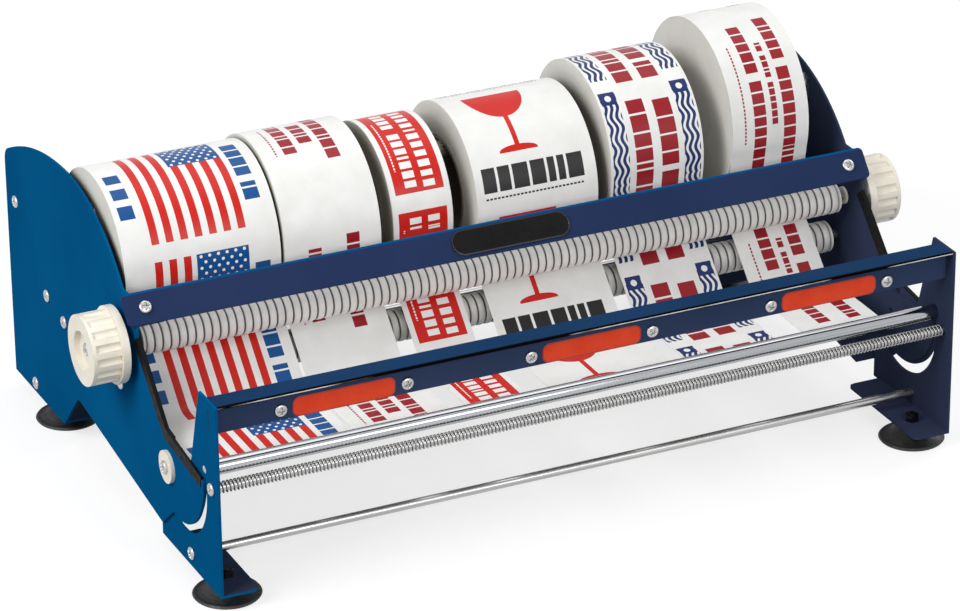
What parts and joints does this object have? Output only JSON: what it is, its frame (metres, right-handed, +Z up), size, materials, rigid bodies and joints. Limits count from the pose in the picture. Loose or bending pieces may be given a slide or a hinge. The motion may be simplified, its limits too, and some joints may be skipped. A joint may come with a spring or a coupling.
{
  "type": "label dispenser",
  "caption": "Counter-top dispenser: sheet-steel frame with a ribbed drive roller turned by fluted knobs, and rolls of printed label tape drawn over a peel bar.",
  "frame": {"origin": "on the counter, under the middle of the bounding box", "axes": "+X along the rolls to the right, +Y to the back, +Z up"},
  "size_m": [0.672, 0.42, 0.2796],
  "materials": {
    "blue_paint": "glossy",
    "zinc_steel": "satin",
    "chrome": "polished",
    "blade_steel": "satin",
    "spring_steel": "satin",
    "ivory_nylon": "satin",
    "roller_rubber": "matte",
    "black_rubber": "matte",
    "black_gloss": "glossy",
    "red_gloss": "glossy",
    "card": "matte",
    "label_tape": "satin"
  },
  "bodies": {
    "frame": {"side_plate_left": "blue_paint", "side_plate_right": "blue_paint", "edge_trim_left": "black_rubber", "edge_trim_right": "black_rubber", "front_plate_left": "blue_paint", "front_plate_right": "blue_paint", "crossbar": "blue_paint", "crossbar_screws": "zinc_steel", "badge_plate": "black_gloss", "front_rail": "blue_paint", "cutter_blade": "blade_steel", "guard_strip": "blue_paint", "guard_screws": "zinc_steel", "red_markers": "red_gloss", "peel_bar": "chrome", "spring_rod": "zinc_steel", "contact_spring": "spring_steel", "rod_screws": "zinc_steel", "lower_front_rod": "zinc_steel", "lower_rear_rod": "zinc_steel", "upper_rear_rod": "zinc_steel", "clamp_washers": "ivory_nylon", "clamp_screws": "zinc_steel", "spindle": "zinc_steel", "spindle_bracket_left": "zinc_steel", "spindle_bracket_right": "zinc_steel", "stretcher": "blue_paint", "stretcher_screws": "zinc_steel", "drive_bushes": "ivory_nylon", "guide_axle": "zinc_steel", "guide_screws": "zinc_steel", "foot_front_left": "black_rubber", "foot_front_right": "black_rubber", "foot_rear_left": "black_rubber", "foot_rear_right": "black_rubber", "foot_studs": "zinc_steel", "web_1": "label_tape", "web_2": "label_tape", "web_3": "label_tape", "web_4": "label_tape", "web_5": "label_tape", "web_6": "label_tape"},
    "drive_roller": {"drive_shaft": "zinc_steel", "drive_roller": "roller_rubber", "knob_left": "ivory_nylon", "knob_right": "ivory_nylon", "knob_screws": "zinc_steel"},
    "guide_roller": {"guide_roller": "roller_rubber"},
    "roll_1": {"core_1": "card", "roll_1": "label_tape"},
    "roll_2": {"core_2": "card", "roll_2": "label_tape"},
    "roll_3": {"core_3": "card", "roll_3": "label_tape"},
    "roll_4": {"core_4": "card", "roll_4": "label_tape"},
    "roll_5": {"core_5": "card", "roll_5": "label_tape"},
    "roll_6": {"core_6": "card", "roll_6": "label_tape"}
  },
  "joints": [
    {"name": "drive_roller_turn", "type": "hinge", "parent": "frame", "child": "drive_roller", "pos_m": [0, -0.039, 0.144], "axis": [1, 0, 0], "continuous": true},
    {"name": "guide_roller_turn", "type": "hinge", "parent": "frame", "child": "guide_roller", "pos_m": [0, -0.028, 0.106], "axis": [1, 0, 0], "continuous": true},
    {"name": "roll_1_turn", "type": "hinge", "parent": "frame", "child": "roll_1", "pos_m": [0, 0.036, 0.1827], "axis": [1, 0, 0], "continuous": true},
    {"name": "roll_2_turn", "type": "hinge", "parent": "frame", "child": "roll_2", "pos_m": [0, 0.036, 0.1827], "axis": [1, 0, 0], "continuous": true},
    {"name": "roll_3_turn", "type": "hinge", "parent": "frame", "child": "roll_3", "pos_m": [0, 0.036, 0.1827], "axis": [1, 0, 0], "continuous": true},
    {"name": "roll_4_turn", "type": "hinge", "parent": "frame", "child": "roll_4", "pos_m": [0, 0.036, 0.1827], "axis": [1, 0, 0], "continuous": true},
    {"name": "roll_5_turn", "type": "hinge", "parent": "frame", "child": "roll_5", "pos_m": [0, 0.036, 0.1954], "axis": [1, 0, 0], "continuous": true},
    {"name": "roll_6_turn", "type": "hinge", "parent": "frame", "child": "roll_6", "pos_m": [0, 0.036, 0.2081], "axis": [1, 0, 0], "continuous": true}
  ]
}
